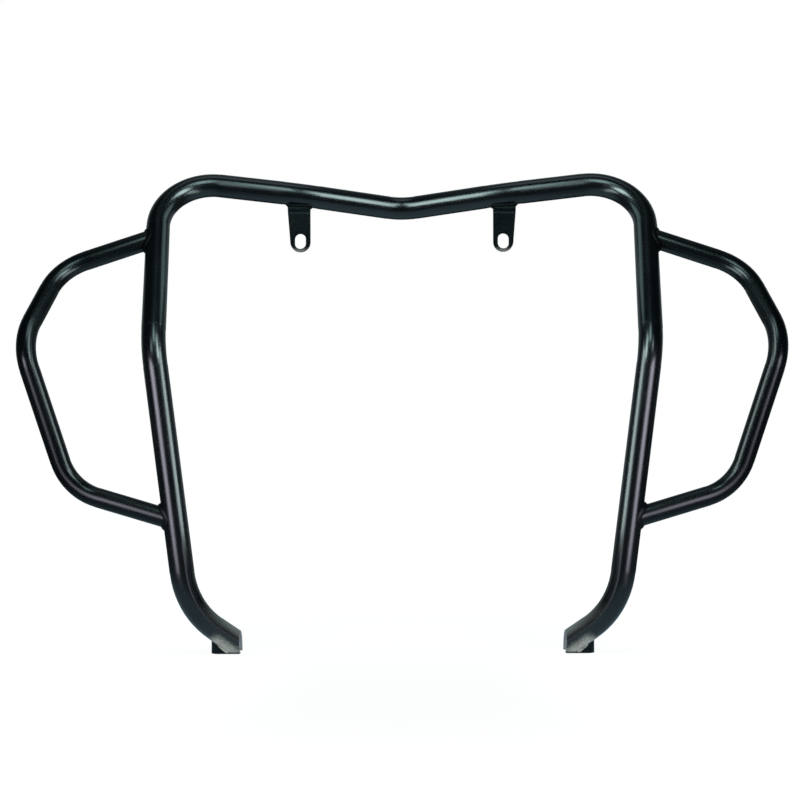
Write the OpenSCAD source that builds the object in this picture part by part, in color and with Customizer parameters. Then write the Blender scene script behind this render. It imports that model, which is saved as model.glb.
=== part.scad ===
// Motorcycle crash bars: one bent hoop, two side loops, two slotted lugs and two foot brackets.
// X runs to the right as the bars are seen from in front, Y runs back, Z runs up. Sizes in mm.
// The origin is midway between the two foot bolt holes. Heights below are measured from the
// underside of the foot brackets, and distances back from the middle line of the lower legs.

/* [Tubes] */
// Outside diameter of the main hoop
hoop_d = 25.4; // [20:0.1:32]
// Wall thickness of the main hoop
hoop_wall = 2; // [1.5:0.5:3]
// How much the bends are drawn in, measured on the radius
bend_draw = 0.15; // [0.12:0.01:0.5]
// Outside diameter of the side loops
loop_d = 20.5; // [16:0.1:26]
// Wall thickness of the side loops
loop_wall = 2; // [1.5:0.5:3]

/* [Top bar] */
// Height of the bar at its middle
bar_mid_z = 480; // [400:1:560]
// How far back the middle of the bar lies
bar_mid_back = 144; // [90:1:200]
// Distance of the soft side bend from the middle
bar_side_x = 112; // [80:1:160]
// Height of the bar at the side bend
bar_side_z = 493; // [400:1:570]
// How far back the side bend lies
bar_side_back = 117; // [60:1:180]
// Bend radius at the middle
bar_mid_bend_r = 60; // [50:1:120]
// Bend radius at the side bend
bar_side_bend_r = 160; // [60:1:300]

/* [Legs] */
// Distance of the upper corner from the middle
corner_x = 268.2; // [200:0.1:320]
// Height of the upper corner
corner_z = 511.2; // [430:0.1:600]
// How far back the upper corner lies
corner_back = 119; // [60:1:160]
// Bend radius of the upper corner
corner_bend_r = 58; // [50:1:90]
// Distance of the knee from the middle
knee_x = 256.5; // [200:0.1:300]
// Height of the knee
knee_z = 321.5; // [260:0.5:380]
// Bend radius of the knee
knee_bend_r = 72; // [50:1:120]
// Distance of the foot bend from the middle
foot_bend_x = 222.3; // [180:0.1:260]
// Height of the foot bend
foot_bend_z = 50.4; // [40:0.1:90]
// Bend radius at the foot
foot_bend_r = 85; // [50:1:110]
// Distance of the cut tube end from the middle
foot_end_x = 169.7; // [140:0.1:200]
// Height of the tube's middle line at its cut end
foot_end_z = 8.2; // [4:0.1:20]
// How far back the tube's middle line lies at its cut end
foot_end_back = 28; // [10:1:40]

/* [Side loops] */
// How far above the knee the loop's top run meets the leg
loop_top_rise = 120.5; // [80:0.5:150]
// Distance of the loop's upper bend from the middle
loop_upper_x = 363.9; // [320:0.1:400]
// Height of the loop's upper bend
loop_upper_z = 405.3; // [360:0.1:440]
// How far back the loop's upper bend lies
loop_upper_back = 52; // [0:1:90]
// Distance of the loop's outer bend from the middle
loop_outer_x = 391.6; // [340:0.1:430]
// Height of the loop's outer bend
loop_outer_z = 325.3; // [280:0.1:360]
// How far back the loop's outer bend lies
loop_outer_back = -4; // [-30:1:40]
// Distance of the loop's lower bend from the middle
loop_lower_x = 344.3; // [300:0.1:380]
// Height of the loop's lower bend
loop_lower_z = 173.7; // [140:0.1:220]
// How far back the loop's lower bend lies
loop_lower_back = 8; // [-30:1:40]
// Height where the loop's lower run meets the leg
loop_bottom_z = 141.5; // [110:0.5:180]
// Bend radius of the upper and outer bends
loop_bend_r = 60; // [40:1:90]
// Bend radius of the lower bend
loop_lower_bend_r = 56; // [40:1:90]

/* [Top lugs] */
// Distance of the lug's inner edge from the middle
lug_in_x = 101.1; // [80:0.1:130]
// Width of the lug at its rounded end
lug_w = 22.2; // [18:0.1:30]
// Extra width on the outer side at the bar
lug_flare = 3.6; // [0:0.1:8]
// Thickness of the lug plate
lug_t = 5; // [3:0.5:8]
// How far back the lug's front face lies
lug_front_back = 110.5; // [90:0.5:130]
// Height of the lug's lower end
lug_end_z = 429.1; // [410:0.1:450]
// Height of the crease in the lug
lug_crease_z = 472.4; // [455:0.1:480]
// How far the lug's top edge is set back from its face
lug_set_back = 6; // [0:0.5:10]
// Width of the bolt slot
slot_w = 12.2; // [8.5:0.1:14]
// Height of the bolt slot
slot_h = 16.8; // [12:0.1:24]
// Height of the slot's middle
slot_z = 441; // [430:0.1:460]

/* [Foot brackets] */
// Width of the bracket's front flange
flange_w = 31.4; // [25:0.1:40]
// Height of the bracket
bracket_h = 22; // [20:0.5:32]
// Thickness of the bracket plate
bracket_t = 5; // [3:0.5:8]
// How far back the flange's front face lies
flange_back = 24; // [16:0.5:34]
// Outside radius of the fold between flange and ear
fold_r = 8; // [6:0.5:12]
// Distance of the bolt hole behind the flange's front face
ear_reach = 36; // [28:0.5:60]
// Bolt hole diameter
bolt_d = 8.5; // [6.5:0.1:12.5]
// Rounding of the flange's lower inner corner
flange_corner_r = 2; // [1:0.5:5]
// Height above the bracket's underside where the tube end is cut flat
foot_trim_z = 1.2; // [0.5:0.1:4]

/* [Welds] */
// Reach of the weld beads at the side loops
loop_weld = 3.6; // [2:0.1:6]
// Reach of the weld beads at the lugs
lug_weld = 2.4; // [1:0.1:5]
// Reach of the weld beads at the foot brackets
foot_weld = 2.8; // [1:0.1:5]

/* [Hidden] */
$fn = 72;
past = 1;
lap = 0.5;
hoop_r = hoop_d / 2;
loop_r = loop_d / 2;
hoop_bore_r = hoop_r - hoop_wall;
loop_bore_r = loop_r - loop_wall;
bar_mid = [0, bar_mid_back, bar_mid_z];
bar_side = [bar_side_x, bar_side_back, bar_side_z];
corner = [corner_x, corner_back, corner_z];
knee = [knee_x, 0, knee_z];
foot_bend = [foot_bend_x, 0, foot_bend_z];
foot_end = [foot_end_x, foot_end_back, foot_end_z];
upper_leg = corner - knee;
lower_leg = foot_bend - knee;
loop_top = knee + upper_leg * (loop_top_rise / upper_leg[2]);
loop_bottom = knee + lower_leg * ((loop_bottom_z - knee_z) / lower_leg[2]);
loop_upper = [loop_upper_x, loop_upper_back, loop_upper_z];
loop_outer = [loop_outer_x, loop_outer_back, loop_outer_z];
loop_lower = [loop_lower_x, loop_lower_back, loop_lower_z];
foot_run = foot_end - foot_bend;
foot_past = foot_end + unit(foot_run) * hoop_d * 1.5;
lug_end_r = lug_w / 2;
lug_mid_x = lug_in_x + lug_end_r;
lug_round_z = lug_end_z + lug_end_r;
lug_top_z = bar_side_z - hoop_r * 0.6;
lug_lean = lug_set_back / (lug_top_z - lug_crease_z);
slot_r = slot_w / 2;
ear_r = bracket_h / 2;
flange_out_x = foot_end_x + flange_w;
ear_in_x = flange_out_x - bracket_t;
hole_y = flange_back + ear_reach;
ear_end_y = hole_y + ear_r;

function unit(v) = v / norm(v);
function turn(a, b, c) = acos(max(-1, min(1, unit(b - a) * unit(c - b))));
function setback(a, b, c, r) = r * tan(turn(a, b, c) / 2);
function bend_from(a, b, c, r) = b - unit(b - a) * setback(a, b, c, r);
function bend_to(a, b, c, r) = b + unit(c - b) * setback(a, b, c, r);
function flip(p) = [-p[0], p[1], p[2]];

// From the measuring planes to the part's own origin.
module placed() {
  translate([0, -hole_y, -ear_r]) children();
}

module on_left() {
  mirror([1, 0, 0]) children();
}

// A straight round bar from one point to another.
module rod(a, b, r) {
  d = b - a;
  translate(a)
    rotate([0, acos(d[2] / norm(d)), atan2(d[1], d[0])])
      cylinder(h = norm(d), r = r);
}

// The bend of a round bar at point b, tangent to both of its runs. Bending draws the tube in a
// hair, and both ends of the bend are carried a little way into the runs.
module elbow(a, b, c, bend_r, r) {
  u = unit(b - a);
  w = unit(c - b);
  n = unit(w - u * (u * w));
  z = cross(u, n);
  o = bend_from(a, b, c, bend_r) + n * bend_r;
  lap_angle = lap / bend_r * 180 / PI;
  multmatrix([[-n[0], u[0], z[0], o[0]],
              [-n[1], u[1], z[1], o[1]],
              [-n[2], u[2], z[2], o[2]],
              [0, 0, 0, 1]])
    rotate([0, 0, -lap_angle])
      rotate_extrude(angle = turn(a, b, c) + lap_angle * 2)
        translate([bend_r, 0])
          circle(r = r - bend_draw);
}

// One half of the hoop, from its middle bend to past the cut foot end.
module half_hoop(r) {
  rod(bend_to(flip(bar_side), bar_mid, bar_side, bar_mid_bend_r),
      bend_from(bar_mid, bar_side, corner, bar_side_bend_r), r);
  elbow(bar_mid, bar_side, corner, bar_side_bend_r, r);
  rod(bend_to(bar_mid, bar_side, corner, bar_side_bend_r),
      bend_from(bar_side, corner, knee, corner_bend_r), r);
  elbow(bar_side, corner, knee, corner_bend_r, r);
  rod(bend_to(bar_side, corner, knee, corner_bend_r),
      bend_from(corner, knee, foot_bend, knee_bend_r), r);
  elbow(corner, knee, foot_bend, knee_bend_r, r);
  rod(bend_to(corner, knee, foot_bend, knee_bend_r),
      bend_from(knee, foot_bend, foot_end, foot_bend_r), r);
  elbow(knee, foot_bend, foot_end, foot_bend_r, r);
  rod(bend_to(knee, foot_bend, foot_end, foot_bend_r), foot_past, r);
}

module whole_hoop(r) {
  elbow(flip(bar_side), bar_mid, bar_side, bar_mid_bend_r, r);
  half_hoop(r);
  on_left() half_hoop(r);
}

// Everything that the two cut planes of the feet take away.
module foot_cuts() {
  reach = hoop_d * 3;
  translate([-foot_end_x, -reach, -reach])
    cube([foot_end_x * 2, reach * 2, bracket_h + reach + hoop_d]);
  translate([-foot_bend_x, -reach, foot_trim_z - reach])
    cube([foot_bend_x * 2, reach * 2, reach]);
}

// One side loop, from inside one leg joint to inside the other.
module loop_path(r) {
  rod(loop_top, bend_from(loop_top, loop_upper, loop_outer, loop_bend_r), r);
  elbow(loop_top, loop_upper, loop_outer, loop_bend_r, r);
  rod(bend_to(loop_top, loop_upper, loop_outer, loop_bend_r),
      bend_from(loop_upper, loop_outer, loop_lower, loop_bend_r), r);
  elbow(loop_upper, loop_outer, loop_lower, loop_bend_r, r);
  rod(bend_to(loop_upper, loop_outer, loop_lower, loop_bend_r),
      bend_from(loop_outer, loop_lower, loop_bottom, loop_lower_bend_r), r);
  elbow(loop_outer, loop_lower, loop_bottom, loop_lower_bend_r, r);
  rod(bend_to(loop_outer, loop_lower, loop_bottom, loop_lower_bend_r), loop_bottom, r);
}

// The straight leg runs as solid bars, for shaping what is welded to them.
module leg_bars(r) {
  rod(bend_to(bar_side, corner, knee, corner_bend_r),
      bend_from(corner, knee, foot_bend, knee_bend_r), r);
  rod(bend_to(corner, knee, foot_bend, knee_bend_r),
      bend_from(knee, foot_bend, foot_end, foot_bend_r), r);
}

module side_loop() {
  difference() {
    loop_path(loop_r);
    loop_path(loop_bore_r);
    leg_bars(hoop_r);
  }
}

// The ring of weld where a loop's end run meets its leg.
module loop_bead(joint, next) {
  d = unit(next - joint);
  difference() {
    intersection() {
      translate(joint)
        rotate([0, acos(d[2]), atan2(d[1], d[0])])
          cylinder(h = hoop_r + loop_weld * 2, r1 = loop_r + loop_weld * 2, r2 = loop_r);
      leg_bars(hoop_r + loop_weld);
    }
    leg_bars(hoop_r);
    rod(joint, next, loop_r);
  }
}

// The bar's side bend as a solid bar, for shaping the lug under it.
module bar_near_lug(r) {
  elbow(bar_mid, bar_side, corner, bar_side_bend_r, r);
}

// The lug's outline from in front, grown by the given amount.
module lug_face(grow) {
  translate([lug_mid_x, lug_round_z])
    circle(r = lug_end_r + grow);
  polygon([[lug_in_x - grow, lug_round_z],
           [lug_in_x + lug_w + grow, lug_round_z],
           [lug_in_x + lug_w + lug_flare + grow, lug_top_z],
           [lug_in_x - grow, lug_top_z]]);
}

// The lug's side profile with its crease, grown by the given amount.
module lug_side(grow) {
  back = lug_front_back + lug_t;
  top_shift = lug_lean * (lug_top_z - lug_crease_z);
  polygon([[lug_front_back - grow, lug_end_z - lug_t],
           [back + grow, lug_end_z - lug_t],
           [back + grow, lug_crease_z],
           [back + grow + top_shift, lug_top_z],
           [lug_front_back - grow + top_shift, lug_top_z],
           [lug_front_back - grow, lug_crease_z]]);
}

module lug_blank(grow) {
  intersection() {
    translate([0, lug_front_back + hoop_d * 2, 0])
      rotate([90, 0, 0])
        linear_extrude(height = hoop_d * 4)
          lug_face(grow);
    translate([lug_in_x - lug_w, 0, 0])
      rotate([90, 0, 90])
        linear_extrude(height = lug_w * 3)
          lug_side(grow);
  }
}

module bolt_slot() {
  half = (slot_h - slot_w) / 2;
  for (side = [-1, 1])
    translate([lug_mid_x, lug_front_back - past, slot_z + side * half])
      rotate([-90, 0, 0])
        cylinder(h = lug_t + past * 2, r = slot_r);
  translate([lug_mid_x - slot_r, lug_front_back - past, slot_z - half])
    cube([slot_w, lug_t + past * 2, half * 2]);
}

module top_lug() {
  difference() {
    lug_blank(0);
    bar_near_lug(hoop_r);
    bolt_slot();
  }
}

module lug_bead() {
  difference() {
    intersection() {
      lug_blank(lug_weld);
      bar_near_lug(hoop_r + lug_weld);
    }
    bar_near_lug(hoop_r);
    lug_blank(0);
  }
}

// The tube of one foot as a solid bar, for shaping the bracket and its weld.
module foot_bar(r) {
  elbow(knee, foot_bend, foot_end, foot_bend_r, r);
  rod(bend_to(knee, foot_bend, foot_end, foot_bend_r), foot_past, r);
}

// The folded bracket seen from above.
module bracket_plan() {
  translate([foot_end_x, flange_back])
    square([flange_w - fold_r, bracket_t]);
  translate([ear_in_x, flange_back + fold_r])
    square([bracket_t, ear_end_y - flange_back - fold_r]);
  difference() {
    translate([flange_out_x - fold_r, flange_back + fold_r])
      circle(r = fold_r);
    translate([flange_out_x - fold_r, flange_back + fold_r])
      circle(r = fold_r - bracket_t);
    translate([flange_out_x - fold_r * 3, flange_back])
      square([fold_r * 2, fold_r * 3]);
    translate([flange_out_x - fold_r * 3, flange_back + fold_r])
      square([fold_r * 4, fold_r * 2]);
  }
}

// The bracket's outline from the side: square in front, round about the bolt hole.
module bracket_side() {
  translate([flange_back, 0])
    square([ear_reach, bracket_h]);
  translate([hole_y, ear_r])
    circle(r = ear_r);
}

// What the flange's rounded lower inner corner takes away.
module corner_cut() {
  difference() {
    translate([foot_end_x - past, -past])
      square([flange_corner_r + past, flange_corner_r + past]);
    translate([foot_end_x + flange_corner_r, flange_corner_r])
      circle(r = flange_corner_r);
  }
}

module bracket_blank() {
  difference() {
    intersection() {
      linear_extrude(height = bracket_h)
        bracket_plan();
      translate([foot_end_x, 0, 0])
        rotate([90, 0, 90])
          linear_extrude(height = flange_w)
            bracket_side();
    }
    translate([0, flange_back + bracket_t + past, 0])
      rotate([90, 0, 0])
        linear_extrude(height = bracket_t + past * 2)
          corner_cut();
    translate([ear_in_x - past, hole_y, ear_r])
      rotate([0, 90, 0])
        cylinder(h = bracket_t + past * 2, r = bolt_d / 2);
  }
}

module foot_bracket() {
  difference() {
    bracket_blank();
    difference() {
      foot_bar(hoop_r);
      foot_cuts();
    }
  }
}

// Weld along the tube's underside, in front of and behind the flange.
module foot_bead() {
  difference() {
    intersection() {
      foot_bar(hoop_r + foot_weld);
      translate([foot_end_x, flange_back - foot_weld, foot_trim_z])
        cube([flange_w - fold_r, bracket_t + foot_weld * 2, bracket_h / 2]);
    }
    foot_bar(hoop_r);
    bracket_blank();
  }
}

module hoop_tube() {
  color([0.03, 0.04, 0.04])
    difference() {
      whole_hoop(hoop_r);
      whole_hoop(hoop_bore_r);
      foot_cuts();
    }
}

module right_side_loop() {
  color([0.03, 0.04, 0.04]) side_loop();
}

module left_side_loop() {
  color([0.03, 0.04, 0.04]) on_left() side_loop();
}

module right_top_lug() {
  color([0.04, 0.04, 0.05]) top_lug();
}

module left_top_lug() {
  color([0.04, 0.04, 0.05]) on_left() top_lug();
}

module right_foot_bracket() {
  color([0.05, 0.05, 0.06]) foot_bracket();
}

module left_foot_bracket() {
  color([0.05, 0.05, 0.06]) on_left() foot_bracket();
}

module right_loop_top_weld() {
  color([0.05, 0.05, 0.05]) loop_bead(loop_top, loop_upper);
}

module left_loop_top_weld() {
  color([0.05, 0.05, 0.05]) on_left() loop_bead(loop_top, loop_upper);
}

module right_loop_bottom_weld() {
  color([0.05, 0.05, 0.05]) loop_bead(loop_bottom, loop_lower);
}

module left_loop_bottom_weld() {
  color([0.05, 0.05, 0.05]) on_left() loop_bead(loop_bottom, loop_lower);
}

module right_lug_weld() {
  color([0.05, 0.05, 0.05]) lug_bead();
}

module left_lug_weld() {
  color([0.05, 0.05, 0.05]) on_left() lug_bead();
}

module right_foot_weld() {
  color([0.3, 0.31, 0.3]) foot_bead();
}

module left_foot_weld() {
  color([0.3, 0.31, 0.3]) on_left() foot_bead();
}

placed() hoop_tube();
placed() left_side_loop();
placed() right_side_loop();
placed() left_top_lug();
placed() right_top_lug();
placed() left_foot_bracket();
placed() right_foot_bracket();
placed() left_loop_top_weld();
placed() left_loop_bottom_weld();
placed() right_loop_top_weld();
placed() right_loop_bottom_weld();
placed() left_lug_weld();
placed() right_lug_weld();
placed() left_foot_weld();
placed() right_foot_weld();
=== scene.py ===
"""Motorcycle crash bars: powder coat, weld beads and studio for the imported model.

Laid out as an add-on: one operator for each group of pieces and one for the studio."""

import math

import bmesh
import bpy
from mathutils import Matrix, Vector


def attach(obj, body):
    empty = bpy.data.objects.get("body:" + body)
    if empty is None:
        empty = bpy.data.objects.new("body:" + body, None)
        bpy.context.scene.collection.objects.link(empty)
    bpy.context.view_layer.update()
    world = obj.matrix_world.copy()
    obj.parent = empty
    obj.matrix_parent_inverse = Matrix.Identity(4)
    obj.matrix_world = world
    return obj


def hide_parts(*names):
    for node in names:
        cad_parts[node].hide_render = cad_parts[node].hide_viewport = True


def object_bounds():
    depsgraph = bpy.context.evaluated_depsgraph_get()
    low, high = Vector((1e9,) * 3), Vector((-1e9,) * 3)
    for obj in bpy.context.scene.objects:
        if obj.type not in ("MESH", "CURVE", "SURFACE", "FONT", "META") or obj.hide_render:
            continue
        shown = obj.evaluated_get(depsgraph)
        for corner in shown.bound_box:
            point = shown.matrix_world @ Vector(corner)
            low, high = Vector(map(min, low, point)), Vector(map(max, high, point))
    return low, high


bl_info = {
    "name": "Motorcycle Crash Bars",
    "version": (1, 0, 0),
    "blender": (4, 5, 0),
    "location": "3D View > Sidebar > Crash Bars",
    "description": "Coats, welds and lights a set of tubular crash bars",
    "category": "Object",
}

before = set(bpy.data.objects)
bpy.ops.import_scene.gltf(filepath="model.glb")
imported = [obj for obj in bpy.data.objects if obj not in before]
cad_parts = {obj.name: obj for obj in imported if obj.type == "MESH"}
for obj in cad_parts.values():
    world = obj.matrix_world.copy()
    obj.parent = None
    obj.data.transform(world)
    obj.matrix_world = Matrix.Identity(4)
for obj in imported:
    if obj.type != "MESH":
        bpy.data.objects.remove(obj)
LOW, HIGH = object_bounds()
SIDES = (("left", -1), ("right", 1))

# The part's own sizes in mm, as its source has them: heights from the underside of the foot
# brackets, distances back from the middle line of the lower legs.
HOOP_R = 12.7
BEND_DRAW = 0.15
LOOP_R = 10.25
BAR_MID = Vector((0, 144, 480))
BAR_SIDE = Vector((112, 117, 493))
CORNER = Vector((268.2, 119, 511.2))
KNEE = Vector((256.5, 0, 321.5))
FOOT_BEND = Vector((222.3, 0, 50.4))
FOOT_END = Vector((169.7, 28, 8.2))
BAR_SIDE_BEND_R = 160
LOOP_UPPER = Vector((363.9, 52, 405.3))
LOOP_LOWER = Vector((344.3, 8, 173.7))
LOOP_TOP_RISE = 120.5
LOOP_BOTTOM_Z = 141.5
LUG_IN_X = 101.1
LUG_W = 22.2
LUG_FLARE = 3.6
LUG_T = 5
LUG_FRONT = 110.5
LUG_END_Z = 429.1
LUG_CREASE_Z = 472.4
LUG_SET_BACK = 6
FLANGE_W = 31.4
FLANGE_FRONT = 24
BRACKET_T = 5
FOLD_R = 8
FOOT_TRIM_Z = 1.2
HOLE_BACK = 60
HOLE_UP = 11

# The lug's top lies this share of the hoop's radius below the bar's middle line.
LUG_TOP_IN = 0.6

# How the root of a bead is found, in mm: lines are sent at the bar over a search length,
# MEET_STEPS points of each are tried, the last step is halved MEET_HALVINGS times, and the bar's
# normal is taken over PROBE. Round a lug, whose edges are rounded by LUG_EDGE_R, the lines lie
# LUG_STEP apart. At a foot they rise from FOOT_SEARCH_Z and start FOOT_BEAD_IN from the tube's
# end, and the bead stays FOOT_BEAD_CLEAR above the trimmed underside. Its leg on the flange is
# FOOT_BEAD_NARROW of its leg on the tube.
MEET_STEPS = 160
MEET_HALVINGS = 30
PROBE = 0.01
LOOP_STEPS = 260
LOOP_SEARCH = 40
LUG_STEP = 0.35
LUG_SEARCH = 30
LUG_EDGE_R = 0.9
LUG_EDGE_STEPS = 7
FOOT_STEPS = 76
FOOT_SEARCH = 80
FOOT_SEARCH_Z = -30
FOOT_BEAD_IN = 1.2
FOOT_BEAD_CLEAR = 0.4
FOOT_BEAD_NARROW = 0.75

# How a bead is shaped: points across it, slow changes of its size (share, rate, phase), how far
# the middle of a ripple trails its ends (in ripples), how hollow its face is, how deep its edges
# sink in (mm), how deep its buried side lies and how long its ends taper (in leg lengths).
BEAD_ARC = 9
BEAD_WANDER = ((0.05, 41, 1.3), (0.04, 97, 0.4))
RIPPLE_LAG = 0.32
BEAD_HOLLOW = 0.13
BEAD_SINK = 0.25
BEAD_ROOT = 0.35
BEAD_TAPER = 0.9

# Colours, roughness and relief that no property holds, in metres. FOOT_END_ROUGHNESS is that of
# dust with a painted sheen, weld wash and bare steel. Of the plates, only the lugs lie above
# LUGS_ABOVE.
TUBE_FADED = (0.001, 0.003, 0.0045)
PLATE_FADED = (0.003, 0.007, 0.009)
COATED_PITS = (0.001, 0.0015, 0.002)
FOOT_WELD_PITS = (0.02, 0.024, 0.02)
FOOT_END_ROUGHNESS = (0.5, 0.6, 0.4)
PEEL = 0.000002
ROUNDED_SAMPLES = 4
ROUNDED_RADIUS = 0.0025
LUGS_ABOVE = 0.3

# The camera as fitted to the photograph, which is PHOTO_PIXELS wide and high: focal length and
# shifts in pixels, roll in degrees. The sensor's size is in mm.
PHOTO_PIXELS = 800
FOCAL_PIXELS = 1457.43
SHIFT_PIXELS = (-2.26, 0.5)
CAMERA_ROLL = 0.15
SENSOR = 36

# The floor's gap under the part and the radii of its rings, in metres.
FLOOR_GAP = 0.0005
FLOOR_RINGS = (0.3, 0.6, 0.9, 1.3, 1.8, 2.6, 4.0)
FLOOR_SIDES = 64

# The lamps of the right side, which the left side mirrors: name, property that holds the
# brightness, place and target in metres, then width, height, beam angle and colour.
SOFTBOXES = (
    ("Front Softbox", "front_glow", (0.49, -0.51, 0.172), (0.23, -0.06, 0.11),
     0.36, 0.345, 51, (0.85, 0.84, 1.0)),
    ("Strip", "strip_glow", (0.004, -0.186, 0.278), (1, -0.186, 0.278),
     0.14, 0.304, 130, (0.80, 1.0, 1.0)),
    ("High Panel", "high_glow", (0.004, 0.065, 0.645), (1, 0.065, 0.645),
     0.20, 0.26, 130, (0.66, 1.0, 1.0)),
    ("Top Softbox", "top_glow", (0.29, -0.60, 0.77), (-0.25, 0.07, 0.475),
     0.24, 0.5, 66, (0.76, 1.0, 1.0)),
    ("Overhead Softbox", "overhead_glow", (0.15, -0.60, 0.95), (0.33, 0.06, 0.487),
     0.18, 0.36, 90, (0.66, 1.0, 1.0)),
)


def in_frame(point, side=1):
    """A point in the source's mm, on the right (1) or left (-1) side, in the row frame's metres."""
    return Vector((point[0] * side, point[1] - HOLE_BACK, point[2] - HOLE_UP)) / 1000


# ---------------------------------------------------------------- sizes and colours


class CrashBarCoat(bpy.types.PropertyGroup):
    tube_colour: bpy.props.FloatVectorProperty(
        name="Tube Colour",
        description="Colour of the powder coat on the hoop and the side loops",
        subtype="COLOR",
        size=3,
        min=0,
        max=1,
        default=(0.0003, 0.0016, 0.0026),
    )
    plate_colour: bpy.props.FloatVectorProperty(
        name="Plate Colour",
        description="Colour of the coat on the lugs and the foot brackets",
        subtype="COLOR",
        size=3,
        min=0,
        max=1,
        default=(0.0006, 0.0028, 0.0040),
    )
    weld_colour: bpy.props.FloatVectorProperty(
        name="Weld Colour",
        description="Colour of the coated weld beads",
        subtype="COLOR",
        size=3,
        min=0,
        max=1,
        default=(0.0006, 0.0020, 0.0028),
    )
    foot_weld_colour: bpy.props.FloatVectorProperty(
        name="Foot Weld Colour",
        description="Colour of the pale, bare weld at the feet and of the wash beside it",
        subtype="COLOR",
        size=3,
        min=0,
        max=1,
        default=(0.36, 0.38, 0.33),
    )
    # Partly dust and partly a painted sheen: the tube's upper side near the foot ends, painted
    # paler towards its top.
    dust_and_sheen_colour: bpy.props.FloatVectorProperty(
        name="Dust Colour",
        description="Colour of the dust on top of the tube at the inner ends of the feet",
        subtype="COLOR",
        size=3,
        min=0,
        max=1,
        default=(0.36, 0.375, 0.35),
    )
    # The lugs turn paler grey towards their lower ends, round the lower half of the slots.
    lug_end_colour: bpy.props.FloatVectorProperty(
        name="Lug End Colour",
        description="Colour of the rubbed coat round the lower half of the lug slots",
        subtype="COLOR",
        size=3,
        min=0,
        max=1,
        default=(0.26, 0.24, 0.24),
    )
    cut_colour: bpy.props.FloatVectorProperty(
        name="Cut Edge Colour",
        description="Colour of the bare steel on the cut tube ends and in their bores",
        subtype="COLOR",
        size=3,
        min=0,
        max=1,
        default=(0.30, 0.33, 0.36),
    )


class CrashBarWelds(bpy.types.PropertyGroup):
    loop_reach: bpy.props.FloatProperty(
        name="Loop Bead",
        description="Leg length of the beads at the side loops, in millimetres",
        default=3.5,
        min=1,
        max=6,
    )
    lug_reach: bpy.props.FloatProperty(
        name="Lug Bead",
        description="Leg length of the beads at the top lugs, in millimetres",
        default=2.3,
        min=1,
        max=5,
    )
    foot_reach: bpy.props.FloatProperty(
        name="Foot Bead",
        description="Leg length of the beads at the foot brackets, in millimetres",
        default=3.6,
        min=1,
        max=6,
    )
    pitch: bpy.props.FloatProperty(
        name="Ripple Pitch",
        description="Distance from one weld ripple to the next, in millimetres",
        default=2.1,
        min=0.5,
        max=5,
    )
    depth: bpy.props.FloatProperty(
        name="Ripple Depth",
        description="How deep the ripples are, as a share of the bead",
        subtype="FACTOR",
        default=0.13,
        min=0,
        max=0.4,
    )


class CrashBarStudio(bpy.types.PropertyGroup):
    camera_distance: bpy.props.FloatProperty(
        name="Camera Distance",
        description="Distance of the camera in front of the lower legs",
        subtype="DISTANCE",
        default=1.5,
        min=0.5,
        max=5,
    )
    camera_height: bpy.props.FloatProperty(
        name="Camera Height",
        description="Height of the camera above the foot bolts",
        subtype="DISTANCE",
        default=0.2537,
        min=0,
        max=2,
    )
    front_glow: bpy.props.FloatProperty(
        name="Front Softboxes",
        description="Brightness of the two softboxes in front, where 1 is white",
        default=7.0,
        min=0,
        max=50,
    )
    strip_glow: bpy.props.FloatProperty(
        name="Strips",
        description="Brightness of the two strips between the legs, where 1 is white",
        default=5.5,
        min=0,
        max=50,
    )
    high_glow: bpy.props.FloatProperty(
        name="High Panels",
        description="Brightness of the two dim panels over the middle, where 1 is white",
        default=1.25,
        min=0,
        max=50,
    )
    top_glow: bpy.props.FloatProperty(
        name="Top Softboxes",
        description="Brightness of the two softboxes over the camera, where 1 is white",
        default=9.6,
        min=0,
        max=50,
    )
    overhead_glow: bpy.props.FloatProperty(
        name="Overhead Softboxes",
        description="Brightness of the two dim softboxes above the top ones, where 1 is white",
        default=4.4,
        min=0,
        max=50,
    )


# ---------------------------------------------------------------- shader building blocks


def add_node(tree, kind, at, **values):
    """A shader node at a place on the sheet, with its plain settings."""
    node = tree.nodes.new(kind)
    node.location = at
    for key, value in values.items():
        setattr(node, key, value)
    return node


def set_input(node, name, value):
    """A plain value on one of a node's inputs."""
    node.inputs[name].default_value = value


def feed(tree, value, socket):
    """A link into a socket from another socket, or a plain value set on it."""
    if hasattr(value, "is_linked"):
        tree.links.new(value, socket)
    else:
        socket.default_value = value


def maths(tree, at, operation, first, second=None, clamp=False):
    """A Math node fed by sockets or plain numbers; gives its output."""
    node = add_node(tree, "ShaderNodeMath", at, operation=operation, use_clamp=clamp)
    feed(tree, first, node.inputs[0])
    if second is not None:
        feed(tree, second, node.inputs[1])
    return node.outputs[0]


def vector_maths(tree, at, operation, first, second=None):
    """A Vector Math node; gives its value where it makes a number, and otherwise its vector."""
    node = add_node(tree, "ShaderNodeVectorMath", at, operation=operation)
    feed(tree, first, node.inputs[0])
    if second is not None:
        feed(tree, second, node.inputs[1])
    return node.outputs["Value" if operation in ("DOT_PRODUCT", "LENGTH") else "Vector"]


def split(tree, at, place):
    """The X, Y and Z of a vector, by name."""
    node = add_node(tree, "ShaderNodeSeparateXYZ", at)
    tree.links.new(place, node.inputs[0])
    return node.outputs


def mixed(tree, at, share, first, second, kind="RGBA"):
    """A Mix node from first to second by share, each a socket or a value; gives its output."""
    node = add_node(tree, "ShaderNodeMix", at, data_type=kind)
    for name, value in (("Factor", share), ("A", first), ("B", second)):
        feed(tree, value, node.inputs[name])
    return node.outputs["Result"]


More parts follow.
